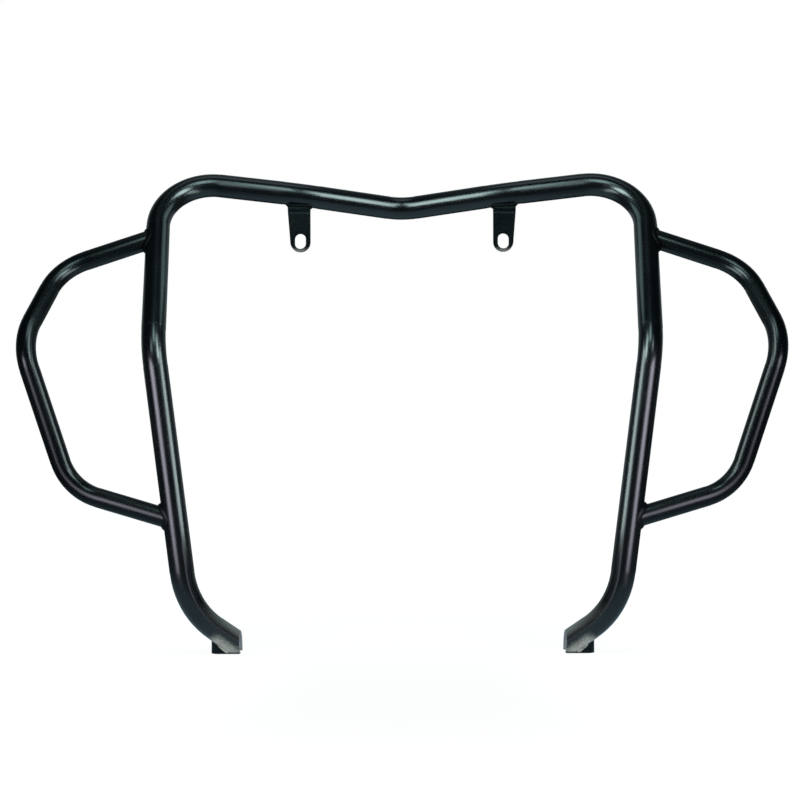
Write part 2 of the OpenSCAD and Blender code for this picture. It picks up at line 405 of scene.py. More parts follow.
def spread(tree, at, value, low, high, to_low=0.0, to_high=1.0):
    """A value's range mapped onto another, eased and held at both ends."""
    node = add_node(tree, "ShaderNodeMapRange", at, interpolation_type="SMOOTHSTEP")
    tree.links.new(value, node.inputs["Value"])
    set_input(node, "From Min", low)
    set_input(node, "From Max", high)
    set_input(node, "To Min", to_low)
    set_input(node, "To Max", to_high)
    return node.outputs["Result"]


def noise(tree, at, place, scale, detail=2.0, rough=0.5):
    """A Noise Texture at a place; gives its value."""
    node = add_node(tree, "ShaderNodeTexNoise", at)
    tree.links.new(place, node.inputs["Vector"])
    feed(tree, scale, node.inputs["Scale"])
    set_input(node, "Detail", detail)
    set_input(node, "Roughness", rough)
    return node.outputs["Fac"]


def new_group(name, takes, gives):
    """An empty shader node group with named inputs and outputs."""
    group = bpy.data.node_groups.new(name, "ShaderNodeTree")
    for label, kind, default in takes:
        socket = group.interface.new_socket(name=label, in_out="INPUT", socket_type=kind)
        if default is not None:
            socket.default_value = default
    for label, kind in gives:
        group.interface.new_socket(name=label, in_out="OUTPUT", socket_type=kind)
    enter = add_node(group, "NodeGroupInput", (-900, 0))
    leave = add_node(group, "NodeGroupOutput", (700, 0))
    return group, enter.outputs, leave.inputs


def orange_peel_group():
    """The fine, soft waviness of sprayed and baked powder."""
    group, takes, gives = new_group(
        "Orange Peel",
        [
            ("Place", "NodeSocketVector", None),
            ("Grain", "NodeSocketFloat", 620.0),
            ("Waves", "NodeSocketFloat", 120.0),
        ],
        [("Height", "NodeSocketFloat")],
    )
    fine = noise(group, (-500, 200), takes["Place"], takes["Grain"], 2.0, 0.45)
    slow = noise(group, (-500, -100), takes["Place"], takes["Waves"], 1.0, 0.4)
    small = maths(group, (-200, 200), "MULTIPLY", fine, 0.3)
    large = maths(group, (-200, 0), "MULTIPLY", slow, 1.4)
    group.links.new(maths(group, (0, 100), "ADD", small, large), gives["Height"])
    return group


def coat_tone_group():
    """Slight changes of shade and gloss over a coated surface."""
    group, takes, gives = new_group(
        "Coat Tone",
        [
            ("Place", "NodeSocketVector", None),
            ("Colour", "NodeSocketColor", (0.004, 0.006, 0.008, 1)),
            ("Faded", "NodeSocketColor", (0.02, 0.022, 0.024, 1)),
            ("Gloss Low", "NodeSocketFloat", 0.22),
            ("Gloss High", "NodeSocketFloat", 0.32),
        ],
        [("Colour", "NodeSocketColor"), ("Roughness", "NodeSocketFloat")],
    )
    cloud = noise(group, (-600, 200), takes["Place"], 26.0, 4.0, 0.6)
    speck = noise(group, (-600, -100), takes["Place"], 900.0, 1.0, 0.5)
    clouded = spread(group, (-450, 200), cloud, 0.4, 0.75)
    dotted = spread(group, (-450, -100), speck, 0.6, 0.75)
    share = maths(group, (-300, 100), "MULTIPLY", clouded, 0.35)
    dots = maths(group, (-300, -100), "MULTIPLY", dotted, 0.25)
    faded = maths(group, (-100, 50), "ADD", share, dots, True)
    colour = mixed(group, (100, 150), faded, takes["Colour"], takes["Faded"])
    group.links.new(colour, gives["Colour"])
    gap = maths(group, (-100, -200), "SUBTRACT", takes["Gloss High"], takes["Gloss Low"])
    lift = maths(group, (100, -200), "MULTIPLY", gap, spread(group, (-450, -300), cloud, 0.3, 0.7))
    group.links.new(maths(group, (300, -200), "ADD", lift, takes["Gloss Low"]), gives["Roughness"])
    return group


def foot_end_group():
    """What shows near the saw-cut inner ends of both feet: bare steel on the cut and in the bore, a
    speckled pale wash beside the weld along the tube's underside, and on its upper side dust with a
    painted sheen, paler towards the top."""
    group, takes, gives = new_group(
        "Foot End",
        [("Place", "NodeSocketVector", None), ("Cut Width", "NodeSocketFloat", 0.0006)],
        [("Bare", "NodeSocketFloat"), ("Wash", "NodeSocketFloat"), ("Dust And Sheen", "NodeSocketFloat")],
    )
    end = in_frame(FOOT_END)
    along = (FOOT_END - FOOT_BEND).normalized()
    down = Vector((0, 0, -1))
    down = (down - along * down.dot(along)).normalized()

    # The right foot stands for both. In metres, run is the distance along the tube past the
    # middle of its end, low how far below the tube's middle line a point lies, and radius how
    # far from that line.
    apart = split(group, (-1900, 0), takes["Place"])
    across = maths(group, (-1700, 100), "ABSOLUTE", apart["X"])
    folded = add_node(group, "ShaderNodeCombineXYZ", (-1500, 0))
    for name, value in (("X", across), ("Y", apart["Y"]), ("Z", apart["Z"])):
        group.links.new(value, folded.inputs[name])
    reach = vector_maths(group, (-1300, 0), "SUBTRACT", folded.outputs[0], end)
    run = vector_maths(group, (-1100, 100), "DOT_PRODUCT", reach, along)
    low = vector_maths(group, (-1100, -100), "DOT_PRODUCT", reach, down)
    far = vector_maths(group, (-1100, -300), "LENGTH", reach)
    far_squared = maths(group, (-1000, -300), "POWER", far, 2.0)
    run_length = maths(group, (-1050, -150), "ABSOLUTE", run)
    run_squared = maths(group, (-1000, -200), "POWER", run_length, 2.0)
    squares = maths(group, (-900, -300), "SUBTRACT", far_squared, run_squared)
    radius = maths(group, (-800, -300), "SQRT", maths(group, (-850, -300), "MAXIMUM", squares, 0.0))
    near = spread(group, (-700, 300), apart["Z"], 0.05, 0.035)
    rough = noise(group, (-900, 500), takes["Place"], 420.0, 3.0, 0.6)

    ragged = maths(group, (-700, 600), "MULTIPLY", rough, 0.0005)
    past = maths(group, (-600, 500), "SUBTRACT", across, end.x)
    from_cut = maths(group, (-500, 550), "ADD", past, ragged)
    share = maths(group, (-400, 500), "DIVIDE", from_cut, takes["Cut Width"])
    cut = spread(group, (-300, 500), share, 1.6, 0.6)
    within = spread(group, (-600, -300), radius, (HOOP_R - 0.7) / 1000, (HOOP_R - 1.2) / 1000)
    by_end = spread(group, (-600, -400), run, -0.028, -0.02)
    bore = maths(group, (-400, -300), "MULTIPLY", within, by_end)
    bare = maths(group, (-100, 400), "MAXIMUM", cut, bore)
    group.links.new(maths(group, (100, 400), "MULTIPLY", bare, near), gives["Bare"])

    wander = maths(group, (-700, 0), "MULTIPLY", rough, 0.006)
    lower = spread(group, (-500, 0), maths(group, (-600, 0), "ADD", low, wander), 0.0050, 0.0140)
    inner = spread(group, (-500, -150), run, -0.040, -0.028)
    above = spread(group, (-500, -250), apart["Z"], -0.0092, -0.0066)
    fine = noise(group, (-700, -600), takes["Place"], 900.0, 3.0, 0.6)
    specks = spread(group, (-500, -600), fine, 0.36, 0.5, 0.3, 1.0)
    kept = maths(group, (-400, -50), "MULTIPLY", inner, above)
    speckled = maths(group, (-300, -50), "MULTIPLY", kept, specks)
    group.links.new(maths(group, (-200, 0), "MULTIPLY", lower, speckled), gives["Wash"])

    # Dust and painted sheen: near the end, the upper side of the tube is painted paler towards its
    # top.
    upper = spread(group, (-500, 150), low, -0.0020, -0.0122, 0.03, 1.0)
    closing = spread(group, (-500, -450), run, -0.070, -0.010)
    grains = spread(group, (-500, -750), rough, 0.3, 0.6, 0.7, 1.0)
    settled = maths(group, (-300, -200), "MULTIPLY", upper, closing)
    group.links.new(maths(group, (-200, -200), "MULTIPLY", settled, grains), gives["Dust And Sheen"])
    return group


def lug_end_grey_group():
    """Paler grey towards the lower end of each lug, round the lower half of the bolt slots."""
    group, takes, gives = new_group(
        "Lug End Grey",
        [("Place", "NodeSocketVector", None)],
        [("Mask", "NodeSocketFloat")],
    )
    apart = split(group, (-900, 0), takes["Place"])
    end = (LUG_END_Z - HOLE_UP) / 1000
    grain = noise(group, (-700, -200), takes["Place"], 500.0, 3.0, 0.6)
    wander = maths(group, (-500, -200), "MULTIPLY", grain, 0.004)
    height = maths(group, (-300, -100), "ADD", apart["Z"], wander)
    low = spread(group, (-100, 0), height, end + 0.0080, end + 0.0010)
    on_lug = maths(group, (-300, 200), "GREATER_THAN", apart["Z"], LUGS_ABOVE)
    group.links.new(maths(group, (200, 100), "MULTIPLY", low, on_lug), gives["Mask"])
    return group


def weld_grain_group():
    """The rough skin of a weld bead, with spatter."""
    group, takes, gives = new_group(
        "Weld Grain",
        [("Place", "NodeSocketVector", None), ("Scale", "NodeSocketFloat", 500.0)],
        [("Height", "NodeSocketFloat"), ("Pits", "NodeSocketFloat")],
    )
    rough = noise(group, (-500, 200), takes["Place"], takes["Scale"], 4.0, 0.65)
    coarse = maths(group, (-700, -100), "MULTIPLY", takes["Scale"], 0.45)
    lump = noise(group, (-500, -100), takes["Place"], coarse, 2.0)
    group.links.new(maths(group, (-100, 100), "ADD", rough, lump), gives["Height"])
    group.links.new(spread(group, (-100, -150), lump, 0.42, 0.3), gives["Pits"])
    return group


GROUPS = {}


def place_group(tree, name, at, **values):
    """One of the shared groups, built the first time it is asked for, placed in a material. The
    values are its inputs by name, with _ for a space."""
    makers = {
        "Orange Peel": orange_peel_group,
        "Coat Tone": coat_tone_group,
        "Foot End": foot_end_group,
        "Lug End Grey": lug_end_grey_group,
        "Weld Grain": weld_grain_group,
    }
    if name not in GROUPS:
        GROUPS[name] = makers[name]()
    node = add_node(tree, "ShaderNodeGroup", at, node_tree=GROUPS[name])
    for key, value in values.items():
        node.inputs[key.replace("_", " ")].default_value = value
    return node


def new_material(name, viewport):
    """A material with an empty Principled shader; gives its tree, shader and object coordinates."""
    material = bpy.data.materials.new(name)
    material.use_nodes = True
    material.diffuse_color = viewport
    tree = material.node_tree
    tree.nodes.clear()
    out = add_node(tree, "ShaderNodeOutputMaterial", (900, 0))
    shader = add_node(tree, "ShaderNodeBsdfPrincipled", (600, 0))
    tree.links.new(shader.outputs["BSDF"], out.inputs["Surface"])
    where = add_node(tree, "ShaderNodeTexCoord", (-1100, 0)).outputs["Object"]
    return material, tree, shader, where


def bump(tree, at, height, strength, distance, shader):
    """Relief on a shader, over rounded-off normals that soften the facets of the CAD mesh."""
    rounded = add_node(tree, "ShaderNodeBevel", (at[0] - 200, at[1] - 200), samples=ROUNDED_SAMPLES)
    set_input(rounded, "Radius", ROUNDED_RADIUS)
    node = add_node(tree, "ShaderNodeBump", at)
    tree.links.new(rounded.outputs["Normal"], node.inputs["Normal"])
    set_input(node, "Strength", strength)
    set_input(node, "Distance", distance)
    tree.links.new(height, node.inputs["Height"])
    tree.links.new(node.outputs["Normal"], shader.inputs["Normal"])


def coated_steel(name, colour, faded, gloss, shine=(1.0, 1.6), foot_end=None, paler_lug_end=None):
    """Powder coat on steel: near-black, satin to gloss, with orange peel. gloss holds the lowest
    and highest roughness, shine the weight of the clear layer and the IOR under it, foot_end the
    colours of dust with a painted sheen, weld wash and bare steel, and paler_lug_end the paler grey
    towards the lower ends of the lugs."""
    material, tree, shader, where = new_material(name, (*colour, 1))
    tone = place_group(
        tree,
        "Coat Tone",
        (-700, 200),
        Colour=(*colour, 1),
        Faded=(*faded, 1),
        Gloss_Low=gloss[0],
        Gloss_High=gloss[1],
    )
    tree.links.new(where, tone.inputs["Place"])
    skin = place_group(tree, "Orange Peel", (-700, -200))
    tree.links.new(where, skin.inputs["Place"])
    top = tone.outputs["Colour"]
    gloss_out = tone.outputs["Roughness"]
    if foot_end:
        end = place_group(tree, "Foot End", (-700, 500))
        tree.links.new(where, end.inputs["Place"])
        # Near the foot ends the coat takes three layers: dust with a painted sheen on top, the weld
        # wash below and bare steel at the cut.
        layers = zip(("Dust And Sheen", "Wash", "Bare"), foot_end, FOOT_END_ROUGHNESS)
        for step, (mask, shade, roughness) in enumerate(layers):
            across = -450 + 180 * step
            top = mixed(tree, (across, 350), end.outputs[mask], top, (*shade, 1))
            gloss_out = mixed(tree, (across, 150), end.outputs[mask], gloss_out, roughness, "FLOAT")
    # The lugs turn paler grey towards their lower ends.
    if paler_lug_end:
        paler = place_group(tree, "Lug End Grey", (-700, 500))
        tree.links.new(where, paler.inputs["Place"])
        top = mixed(tree, (-300, 350), paler.outputs["Mask"], top, (*paler_lug_end, 1))
    tree.links.new(top, shader.inputs["Base Color"])
    tree.links.new(gloss_out, shader.inputs["Roughness"])
    set_input(shader, "IOR", shine[1])
    set_input(shader, "Coat Weight", shine[0])
    set_input(shader, "Coat Roughness", 0.16)
    set_input(shader, "Coat IOR", 1.5)
    bump(tree, (200, -300), skin.outputs["Height"], 0.3, PEEL, shader)
    return material


def weld_metal(name, colour, pit_colour, roughness):
    """The rippled metal of a weld, coated at the loops and lugs and pale at the feet."""
    material, tree, shader, where = new_material(name, (*colour, 1))
    grain = place_group(tree, "Weld Grain", (-700, 0))
    tree.links.new(where, grain.inputs["Place"])
    tone = place_group(
        tree,
        "Coat Tone",
        (-700, 300),
        Colour=(*colour, 1),
        Faded=tuple(min(1.0, c * 1.6) for c in colour) + (1,),
        Gloss_Low=roughness - 0.07,
        Gloss_High=roughness + 0.1,
    )
    tree.links.new(where, tone.inputs["Place"])
    pits, clean = grain.outputs["Pits"], tone.outputs["Colour"]
    pitted = mixed(tree, (-300, 300), pits, clean, (*pit_colour, 1))
    tree.links.new(pitted, shader.inputs["Base Color"])
    tree.links.new(tone.outputs["Roughness"], shader.inputs["Roughness"])
    set_input(shader, "IOR", 1.33)
    set_input(shader, "Coat Weight", 0.1)
    set_input(shader, "Coat Roughness", 0.2)
    bump(tree, (200, -300), grain.outputs["Height"], 0.5, 0.0003, shader)
    return material


def dress(node, material):
    """A CAD piece keeps its shape and takes the material in every slot."""
    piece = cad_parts[node]
    if not piece.data.materials:
        piece.data.materials.append(material)
    for index in range(len(piece.data.materials)):
        piece.data.materials[index] = material
    return piece


# ---------------------------------------------------------------- weld beads


def straight_bar(a, b, radius):
    """How far a point lies outside a straight round bar, in mm."""
    along = (b - a).normalized()

    def outside(p):
        reach = p - a
        return (reach - along * reach.dot(along)).length - radius

    return outside


def bent_bar(a, b, c, bend_r, radius):
    """How far a point lies outside a round bar's bend, in mm."""
    u = (b - a).normalized()
    w = (c - b).normalized()
    n = (w - u * u.dot(w)).normalized()
    setback = bend_r * math.tan(u.angle(w) / 2)
    middle = b - u * setback + n * bend_r
    axis = u.cross(n).normalized()

    def outside(p):
        reach = p - middle
        up = reach.dot(axis)
        ring = (reach - axis * up).length - bend_r
        return math.hypot(ring, up) - radius

    return outside


def meet(start, along, far, outside):
    """The point where a line from outside a bar runs into it, and the bar's normal there."""
    near = 0.0
    hit = None
    for k in range(1, MEET_STEPS + 1):
        t = far * k / MEET_STEPS
        if outside(start + along * t) < 0:
            hit = t
            break
        near = t
    if hit is None:
        raise RuntimeError("a weld line misses its bar")
    for _ in range(MEET_HALVINGS):
        middle = (near + hit) / 2
        if outside(start + along * middle) < 0:
            hit = middle
        else:
            near = middle
    point = start + along * near
    probes = [Vector(axis) * PROBE for axis in ((1, 0, 0), (0, 1, 0), (0, 0, 1))]
    slope = Vector([outside(point + probe) - outside(point - probe) for probe in probes])
    return point, slope.normalized()


def bead(name, roots, walls, bars, sizes, radii, side, closed):
    """A rippled fillet weld along a line of roots, as a closed mesh.

    walls and bars are the outward normals of the two welded surfaces at each root, sizes the leg
    length on each, and radii the radius of each surface, or 0 where it is flat."""
    options = bpy.context.scene.crash_bar_welds
    count = len(roots)
    lengths = [0.0]
    for k in range(1, count + (1 if closed else 0)):
        lengths.append(lengths[-1] + (roots[k % count] - roots[k - 1]).length)
    total = lengths[-1]
    ripples = max(3, round(total / options.pitch))
    mesh = bmesh.new()
    rings = []
    for k in range(count):
        before = roots[(k - 1) % count] if closed or k else roots[k]
        after = roots[(k + 1) % count] if closed or k < count - 1 else roots[k]
        run = (after - before).normalized()
        wall, bar = walls[k], bars[k]
        on_wall = run.cross(wall).normalized()
        if on_wall.dot(bar) < 0:
            on_wall.negate()
        on_bar = run.cross(bar).normalized()
        if on_bar.dot(wall) < 0:
            on_bar.negate()
        share = lengths[k] / total
        fade = 1.0
        if not closed:
            end = min(share, 1 - share) * total
            fade = math.sqrt(min(1.0, max(0.02, end / (sizes[0] * BEAD_TAPER))))
        wander = 1
        for part, rate, phase in BEAD_WANDER:
            wander += part * math.sin(share * rate + phase)
        ring = []
        for j in range(BEAD_ARC):
            turn = math.pi / 2 * j / (BEAD_ARC - 1)
            bow = math.sin(2 * turn)
            crest = abs(math.sin(math.pi * (share * ripples - RIPPLE_LAG * bow)))
            full = 1 - BEAD_HOLLOW * bow
            size = full * wander * (1 - options.depth * bow * (1 - crest)) * fade
            a = sizes[0] * size * math.cos(turn)
            b = sizes[1] * size * math.sin(turn)
            point = roots[k] + on_wall * a + on_bar * b
            if radii[0]:
                point -= wall * (a * a / (2 * radii[0]))
            if radii[1]:
                point -= bar * (b * b / (2 * radii[1]))
            sink = BEAD_SINK * (1 - bow)
            point -= wall * (sink if j < BEAD_ARC // 2 else 0)
            point -= bar * (sink if j > BEAD_ARC // 2 else 0)
            ring.append(mesh.verts.new(in_frame(point, side)))
        deep = roots[k] - (wall + bar) * (BEAD_ROOT * min(sizes))
        ring.append(mesh.verts.new(in_frame(deep, side)))
        rings.append(ring)
    width = BEAD_ARC + 1
    for k in range(count if closed else count - 1):
        one, two = rings[k], rings[(k + 1) % count]
        for j in range(width):
            mesh.faces.new((one[j], one[(j + 1) % width], two[(j + 1) % width], two[j]))
    if not closed:
        mesh.faces.new(rings[0])
        mesh.faces.new(rings[-1])
    bmesh.ops.recalc_face_normals(mesh, faces=mesh.faces)
    for face in mesh.faces:
        face.smooth = True
    data = bpy.data.meshes.new(name)
    mesh.to_mesh(data)
    mesh.free()
    piece = bpy.data.objects.new(name, data)
    bpy.context.scene.collection.objects.link(piece)
    return piece


def seat_bead(piece, node, material):
    """The bead stands for its CAD weld and rides with the part."""
    piece.data.materials.append(material)
    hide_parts(node)
    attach(piece, "root")


def loop_joint(joint, towards, leg):
    """Roots and normals right round the end of a side loop."""
    outside = straight_bar(*leg, HOOP_R)
    along = (towards - joint).normalized()
    one = along.cross(Vector((0, 1, 0))).normalized()
    two = along.cross(one).normalized()
    roots, walls, bars = [], [], []
    for k in range(LOOP_STEPS):
        turn = math.tau * k / LOOP_STEPS
        out = one * math.cos(turn) + two * math.sin(turn)
        start = joint + along * LOOP_SEARCH + out * LOOP_R
        root, normal = meet(start, -along, LOOP_SEARCH, outside)
        roots.append(root)
        walls.append(out)
        bars.append(normal)
    return roots, walls, bars


def lug_joint():
    """Roots and normals round the top of a lug, where it meets the bar's side bend."""
    outside = bent_bar(BAR_MID, BAR_SIDE, CORNER, BAR_SIDE_BEND_R, HOOP_R - BEND_DRAW)
    top_z = BAR_SIDE.z - HOOP_R * LUG_TOP_IN
    lean = LUG_SET_BACK / (top_z - LUG_CREASE_Z)
    round_z = LUG_END_Z + LUG_W / 2
    flare = LUG_FLARE / (top_z - round_z)
    out_x = LUG_IN_X + LUG_W + flare * (LUG_CREASE_Z - round_z)
    low_x, high_x = LUG_IN_X + LUG_EDGE_R, out_x - LUG_EDGE_R
    low_y, high_y = LUG_FRONT + LUG_EDGE_R, LUG_FRONT + LUG_T - LUG_EDGE_R
    corners = ((high_x, low_y), (high_x, high_y), (low_x, high_y), (low_x, low_y))
    outline = []
    for quarter, (x, y) in enumerate(corners, -1):
        for k in range(LUG_EDGE_STEPS + 1):
            turn = math.radians(90 * quarter + 90 * k / LUG_EDGE_STEPS)
            out = Vector((math.cos(turn), math.sin(turn), 0))
            outline.append((Vector((x, y, LUG_CREASE_Z)) + out * LUG_EDGE_R, out))
    roots, walls, bars = [], [], []
    for k, (point, out) in enumerate(outline):
        after, after_out = outline[(k + 1) % len(outline)]
        steps = max(1, round((after - point).length / LUG_STEP))
        for i in range(steps):
            share = i / steps
            spot = point.lerp(after, share)
            normal = out.lerp(after_out, share).normalized()
            slant = flare * (spot.x - LUG_IN_X) / (out_x - LUG_IN_X)
            along = Vector((slant, lean, 1)).normalized()
            root, bar = meet(spot, along, LUG_SEARCH, outside)
            roots.append(root)
            walls.append((normal - along * normal.dot(along)).normalized())
            bars.append(bar)
    return roots, walls, bars


def foot_joint(face_y, facing):
    """Roots and normals along the tube's underside on one face of the foot flange."""
    outside = straight_bar(FOOT_BEND, FOOT_END, HOOP_R)
    roots, walls, bars = [], [], []
    first, last = FOOT_END.x + FOOT_BEAD_IN, FOOT_END.x + FLANGE_W - FOLD_R
    for k in range(FOOT_STEPS + 1):
        x = first + (last - first) * k / FOOT_STEPS
        start = Vector((x, face_y, FOOT_SEARCH_Z))
        root, normal = meet(start, Vector((0, 0, 1)), FOOT_SEARCH, outside)
        if root.z < FOOT_TRIM_Z + FOOT_BEAD_CLEAR:
            continue
        roots.append(root)
        walls.append(Vector((0, facing, 0)))
        bars.append(normal)
    return roots, walls, bars


# ---------------------------------------------------------------- operators


class CRASHBARS_OT_coat_tubes(bpy.types.Operator):
    """Powder-coat the hoop and both side loops"""

    bl_idname = "crashbars.coat_tubes"
    bl_label = "Coat the Tubes"

    def execute(self, context):
        coat = context.scene.crash_bar_coat
        colour = tuple(coat.tube_colour)
        # The first colour is the dust with a painted sheen on the upper side of the foot ends.
        foot_end = (tuple(coat.dust_and_sheen_colour), tuple(coat.foot_weld_colour), tuple(coat.cut_colour))
        hoop = coated_steel(
            "Hoop Powder Coat", colour, TUBE_FADED, gloss=(0.22, 0.28), foot_end=foot_end
        )
        dress("hoop_tube", hoop)
        # The loops take a duller copy of the hoop's coat: its weaker shine is painted shade that
        # dims the highlights on the loops.
        loops = coated_steel(
            "Loop Powder Coat With Painted Shade", colour, TUBE_FADED, gloss=(0.24, 0.30), shine=(0.6, 1.42)
        )
        for side, _ in SIDES:
            dress(side + "_side_loop", loops)
        return {"FINISHED"}


class CRASHBARS_OT_finish_plates(bpy.types.Operator):
    """Break the edges of the lugs and foot brackets and coat them"""

    bl_idname = "crashbars.finish_plates"
    bl_label = "Finish Lugs and Brackets"

    def execute(self, context):
        coat = context.scene.crash_bar_coat
        material = coated_steel(
            "Plate Powder Coat",
            tuple(coat.plate_colour),
            PLATE_FADED,
            gloss=(0.20, 0.26),
            shine=(0.3, 1.3),
            paler_lug_end=tuple(coat.lug_end_colour),
        )
        for side, _ in SIDES:
            for node in (side + "_top_lug", side + "_foot_bracket"):
                piece = dress(node, material)
                join = piece.modifiers.new("Join Facets", "WELD")
                join.merge_threshold = 0.00001
                edge = piece.modifiers.new("Broken Edges", "BEVEL")
                edge.width = 0.0006
                edge.segments = 3
                edge.limit_method = "ANGLE"
                edge.angle_limit = math.radians(40)
                edge.harden_normals = True
        return {"FINISHED"}


class CRASHBARS_OT_weld_loops(bpy.types.Operator):
    """Lay the rippled beads round the ends of both side loops"""

    bl_idname = "crashbars.weld_loops"
    bl_label = "Weld the Side Loops"

    def execute(self, context):
        coat = context.scene.crash_bar_coat
        reach = context.scene.crash_bar_welds.loop_reach
        material = weld_metal("Coated Weld", tuple(coat.weld_colour), COATED_PITS, 0.48)
        upper = CORNER - KNEE
        lower = FOOT_BEND - KNEE
        top = KNEE + upper * (LOOP_TOP_RISE / upper.z)
        bottom = KNEE + lower * ((LOOP_BOTTOM_Z - KNEE.z) / lower.z)
        for end, joint, towards, leg in (
            ("top", top, LOOP_UPPER, (KNEE, CORNER)),
            ("bottom", bottom, LOOP_LOWER, (KNEE, FOOT_BEND)),
        ):
            line = loop_joint(joint, towards, leg)
            for side, sign in SIDES:
                name = side + "_loop_" + end
                piece = bead(name + "_bead", *line, (reach, reach), (LOOP_R, HOOP_R), sign, True)
                seat_bead(piece, name + "_weld", material)
        return {"FINISHED"}


class CRASHBARS_OT_weld_lugs(bpy.types.Operator):
    """Lay the bead round the top of each lug"""

    bl_idname = "crashbars.weld_lugs"
    bl_label = "Weld the Top Lugs"

    def execute(self, context):
        reach = context.scene.crash_bar_welds.lug_reach
        line = lug_joint()
        for side, sign in SIDES:
            piece = bead(side + "_lug_bead", *line, (reach, reach), (0, HOOP_R), sign, True)
            seat_bead(piece, side + "_lug_weld", bpy.data.materials["Coated Weld"])
        return {"FINISHED"}


class CRASHBARS_OT_weld_feet(bpy.types.Operator):
    """Lay the pale beads along the tube's underside on both faces of each foot bracket"""

    bl_idname = "crashbars.weld_feet"
    bl_label = "Weld the Foot Brackets"

    def execute(self, context):
        coat = context.scene.crash_bar_coat
        reach = context.scene.crash_bar_welds.foot_reach
        material = weld_metal("Pale Foot Weld", tuple(coat.foot_weld_colour), FOOT_WELD_PITS, 0.55)
        faces = (("front", FLANGE_FRONT, -1), ("back", FLANGE_FRONT + BRACKET_T, 1))
        sizes = (reach * FOOT_BEAD_NARROW, reach)
        for side, sign in SIDES:
            for face, face_y, facing in faces:
                line = foot_joint(face_y, facing)
                name = side + "_foot_" + face + "_bead"
                piece = bead(name, *line, sizes, (0, HOOP_R), sign, False)
                seat_bead(piece, side + "_foot_weld", material)
        return {"FINISHED"}


# ---------------------------------------------------------------- studio


def softbox(name, place, target, glow, width, height, beam, colour):
    """An area lamp that faces a point and that the camera doesn't see. Its power is worked out so
    that its face is as bright as asked, along the middle of its beam."""
    half = math.radians(beam / 2)
    narrow = (math.tan(half) - half) / math.tan(half)
    data = bpy.data.lights.new(name, "AREA")
    data.shape = "RECTANGLE"
    data.size = width
    data.size_y = height
    data.energy = glow * math.pi * width * height * narrow
    data.spread = math.radians(beam)
    data.color = colour
    lamp = bpy.data.objects.new(name, data)
    bpy.context.scene.collection.objects.link(lamp)
    lamp.location = place
    lamp.rotation_euler = (Vector(target) - Vector(place)).to_track_quat("-Z", "Y").to_euler()
    lamp.visible_camera = False


def floor_mesh():
    """A wide round sheet, made of rings about its middle."""
    mesh = bmesh.new()
    middle = mesh.verts.new((0, 0, 0))
    last = None
    for radius in FLOOR_RINGS:
        ring = []
        for k in range(FLOOR_SIDES):
            turn = math.tau * k / FLOOR_SIDES
            ring.append(mesh.verts.new((radius * math.cos(turn), radius * math.sin(turn), 0)))
        for k in range(FLOOR_SIDES):
            after = (k + 1) % FLOOR_SIDES
            if last is None:
                mesh.faces.new((middle, ring[k], ring[after]))
            else:
                mesh.faces.new((last[k], ring[k], ring[after], last[after]))
        last = ring
    data = bpy.data.meshes.new("Studio Floor")
    mesh.to_mesh(data)
    mesh.free()
    return data


def studio_floor():
    """Pale paper under the feet: white round the part to the camera, dark and bluish to gloss."""
    data = floor_mesh()
    floor = bpy.data.objects.new("Studio Floor", data)
    bpy.context.scene.collection.objects.link(floor)
    floor.location = (0, 0, LOW.z - FLOOR_GAP)
    material = bpy.data.materials.new("Pale Paper")
    material.use_nodes = True
    tree = material.node_tree
    tree.nodes.clear()
    out = add_node(tree, "ShaderNodeOutputMaterial", (600, 0))
    paper = add_node(tree, "ShaderNodeBsdfDiffuse", (0, 100))
    glow = add_node(tree, "ShaderNodeEmission", (0, -100))
    seen = add_node(tree, "ShaderNodeLightPath", (-500, -200))
    camera, gloss = seen.outputs["Is Camera Ray"], seen.outputs["Is Glossy Ray"]
    tint = mixed(tree, (-250, -250), gloss, (1, 1, 1, 1), (0.55, 0.85, 1, 1))
    tree.links.new(tint, glow.inputs["Color"])
    shade = mixed(tree, (-250, 300), gloss, (0.30, 0.31, 0.31, 1), (0.012, 0.018, 0.022, 1))
    tree.links.new(shade, paper.inputs["Color"])
    where = add_node(tree, "ShaderNodeTexCoord", (-900, 100))
    apart = vector_maths(tree, (-700, 100), "LENGTH", where.outputs["Object"])
    shown = spread(tree, (-500, 200), apart, 0.2, 0.6, 0.94, 1.0)
    glossed = spread(tree, (-500, -50), apart, 0.15, 0.75, 0.30, 0.02)
    to_camera = maths(tree, (-250, 150), "MULTIPLY", shown, camera)
    to_gloss = maths(tree, (-250, -50), "MULTIPLY", glossed, gloss)
    either = maths(tree, (-400, -350), "ADD", camera, gloss)
    others = maths(tree, (-320, -350), "SUBTRACT", 1.0, either, True)
    bounced = maths(tree, (-250, -400), "MULTIPLY", others, 0.8)
    both_seen = maths(tree, (-100, 50), "ADD", to_camera, to_gloss)
    tree.links.new(maths(tree, (0, -50), "ADD", both_seen, bounced), glow.inputs["Strength"])
    both = add_node(tree, "ShaderNodeAddShader", (300, 0))
    tree.links.new(paper.outputs[0], both.inputs[0])
    tree.links.new(glow.outputs[0], both.inputs[1])
    tree.links.new(both.outputs[0], out.inputs["Surface"])
    data.materials.append(material)


